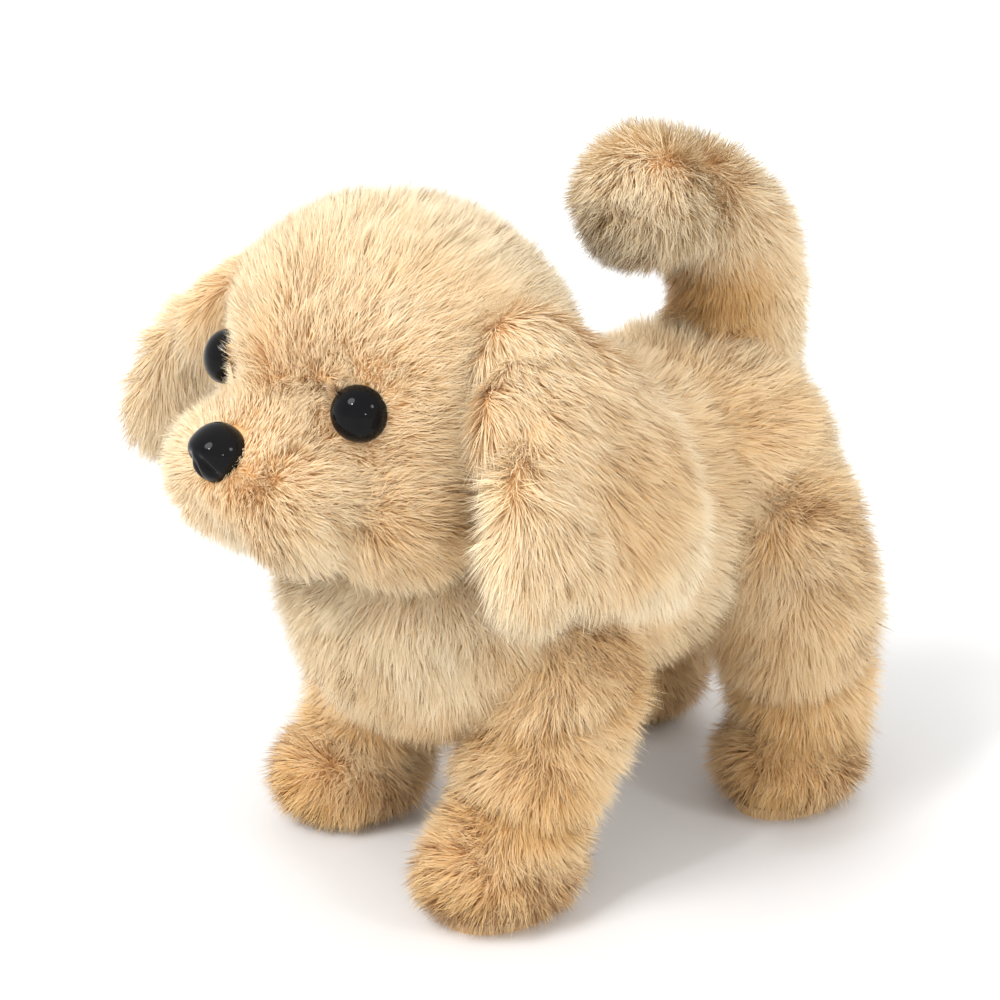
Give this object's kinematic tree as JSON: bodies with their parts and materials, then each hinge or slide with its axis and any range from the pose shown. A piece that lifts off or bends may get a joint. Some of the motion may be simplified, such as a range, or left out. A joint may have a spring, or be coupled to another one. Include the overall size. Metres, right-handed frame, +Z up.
{
  "type": "walking plush puppy",
  "caption": "Stuffed fur puppy that walks: battery box, motor and gear train swing linked legs, with a nodding head, wagging curled tail and floppy ears.",
  "frame": {"origin": "bottom centre of the bounding box, on the plane the soles stand on", "axes": "+Z up, the puppy faces -Y, +X is its left side"},
  "size_m": [0.1286, 0.1696, 0.151],
  "materials": {
    "fur": "short-pile fur over stuffing",
    "fur_light": "short-pile fur over stuffing, lighter",
    "housing_plastic": "moulded, fine texture",
    "leg_plastic": "moulded",
    "gear_plastic": "acetal",
    "black_gloss": "polished",
    "black_plastic": "satin",
    "steel": "zinc plated",
    "brass": "turned",
    "cell_sleeve": "plain printed sleeve",
    "board": "solder mask",
    "red_wire": "insulated lead",
    "black_wire": "insulated lead",
    "sole_fabric": "stitched sole patch"
  },
  "bodies": {
    "chassis": {"housing_left": "housing_plastic", "housing_right": "housing_plastic", "housing_screw_front": "steel", "housing_screw_rear": "steel", "battery_left": "cell_sleeve", "battery_right": "cell_sleeve", "contact_bridge": "steel", "contact_positive": "steel", "contact_spring": "steel", "wire_red": "red_wire", "wire_black": "black_wire", "circuit_board": "board", "control_chip": "black_plastic", "speaker_basket": "steel", "speaker_cone": "black_plastic", "switch_body": "black_plastic", "motor_can": "steel", "motor_endcap": "black_plastic", "hip_screw_front_left": "steel", "hip_screw_rear_left": "steel", "hip_screw_front_right": "steel", "hip_screw_rear_right": "steel", "neck_post": "leg_plastic", "torso_plush": "fur"},
    "battery_door": {"battery_door": "housing_plastic", "battery_door_screw": "steel"},
    "switch": {"switch_knob": "black_plastic"},
    "motor_rotor": {"motor_pinion": "brass"},
    "gear_first": {"gear_first": "gear_plastic"},
    "gear_second": {"gear_second": "gear_plastic"},
    "crank": {"crank_gear": "gear_plastic", "crank_shaft": "steel", "crank_disc_left": "leg_plastic", "crank_disc_right": "leg_plastic"},
    "head": {"neck_pin": "steel", "skull_front": "leg_plastic", "skull_back": "leg_plastic", "eye_left": "black_gloss", "eye_right": "black_gloss", "nose": "black_gloss", "nose_washer": "leg_plastic", "head_plush": "fur_light"},
    "ear_left": {"ear_left": "fur_light"},
    "ear_right": {"ear_right": "fur_light"},
    "tail": {"tail_lever": "leg_plastic", "tail_plush": "fur_light"},
    "link_left": {"link_bar_left": "leg_plastic"},
    "link_right": {"link_bar_right": "leg_plastic"},
    "leg_front_left": {"leg_frame_front_left": "leg_plastic", "leg_plush_front_left": "fur", "sole_front_left": "sole_fabric"},
    "leg_rear_left": {"leg_frame_rear_left": "leg_plastic", "leg_plush_rear_left": "fur", "sole_rear_left": "sole_fabric"},
    "leg_front_right": {"leg_frame_front_right": "leg_plastic", "leg_plush_front_right": "fur", "sole_front_right": "sole_fabric"},
    "leg_rear_right": {"leg_frame_rear_right": "leg_plastic", "leg_plush_rear_right": "fur", "sole_rear_right": "sole_fabric"}
  },
  "joints": [
    {"name": "step", "type": "hinge", "parent": "chassis", "child": "leg_rear_left", "pos_m": [0.0215, 0.051, 0.05], "axis": [-1, 0, 0], "range_deg": [-17.5, 8.5]},
    {"name": "swing_front_left", "type": "hinge", "parent": "chassis", "child": "leg_front_left", "pos_m": [0.0215, -0.011, 0.05], "axis": [-1, 0, 0], "range_deg": [-17.5, 8.5]},
    {"name": "swing_rear_right", "type": "hinge", "parent": "chassis", "child": "leg_rear_right", "pos_m": [-0.0215, 0.051, 0.05], "axis": [-1, 0, 0], "range_deg": [-8.5, 17.5]},
    {"name": "swing_front_right", "type": "hinge", "parent": "chassis", "child": "leg_front_right", "pos_m": [-0.0215, -0.011, 0.05], "axis": [-1, 0, 0], "range_deg": [-8.5, 17.5]},
    {"name": "link_pivot_left", "type": "hinge", "parent": "leg_rear_left", "child": "link_left", "pos_m": [0.024, 0.05174, 0.05947], "axis": [-1, 0, 0], "range_deg": [-8.5, 17.5]},
    {"name": "link_pivot_right", "type": "hinge", "parent": "leg_rear_right", "child": "link_right", "pos_m": [-0.024, 0.05026, 0.05947], "axis": [-1, 0, 0], "range_deg": [-17.5, 8.5]},
    {"name": "head_nod", "type": "hinge", "parent": "chassis", "child": "head", "pos_m": [0, -0.02, 0.086], "axis": [1, 0, 0], "range_deg": [-6.2, 3.1]},
    {"name": "tail_wag", "type": "hinge", "parent": "chassis", "child": "tail", "pos_m": [0, 0.053, 0.088], "axis": [0, 0, 1], "range_deg": [-21.1, 10.3]},
    {"name": "crank_spin", "type": "hinge", "parent": "chassis", "child": "crank", "pos_m": [0, 0.048, 0.072], "axis": [1, 0, 0], "continuous": true},
    {"name": "gear_second_spin", "type": "hinge", "parent": "chassis", "child": "gear_second", "pos_m": [0, 0.03477, 0.072], "axis": [1, 0, 0], "continuous": true},
    {"name": "gear_first_spin", "type": "hinge", "parent": "chassis", "child": "gear_first", "pos_m": [0, 0.02154, 0.072], "axis": [1, 0, 0], "continuous": true},
    {"name": "motor_spin", "type": "hinge", "parent": "chassis", "child": "motor_rotor", "pos_m": [0, 0.00894, 0.072], "axis": [1, 0, 0], "continuous": true},
    {"name": "battery_door_hinge", "type": "hinge", "parent": "chassis", "child": "battery_door", "pos_m": [0, -0.0137, 0.041], "axis": [-1, 0, 0], "range_deg": [0, 32]},
    {"name": "switch_slide", "type": "slide", "parent": "chassis", "child": "switch", "axis": [1, 0, 0], "range_m": [0, 0.004]},
    {"name": "ear_lift_left", "type": "hinge", "parent": "head", "child": "ear_left", "pos_m": [0.0345, -0.032, 0.1315], "axis": [0, -1, 0], "range_deg": [0, 50]},
    {"name": "ear_lift_right", "type": "hinge", "parent": "head", "child": "ear_right", "pos_m": [-0.0345, -0.032, 0.1315], "axis": [0, 1, 0], "range_deg": [0, 50]}
  ],
  "couplings": [
    {"joint": "swing_front_left", "follows": "step", "ratio": 1},
    {"joint": "swing_rear_right", "follows": "step", "ratio": -1},
    {"joint": "swing_front_right", "follows": "step", "ratio": -1},
    {"joint": "link_pivot_left", "follows": "step", "ratio": -1},
    {"joint": "link_pivot_right", "follows": "step", "ratio": 1},
    {"joint": "head_nod", "follows": "step", "ratio": 0.35},
    {"joint": "tail_wag", "follows": "step", "ratio": 1.2},
    {"joint": "gear_second_spin", "follows": "crank_spin", "ratio": -2.5},
    {"joint": "gear_first_spin", "follows": "crank_spin", "ratio": 6.25},
    {"joint": "motor_spin", "follows": "crank_spin", "ratio": -18.75}
  ]
}
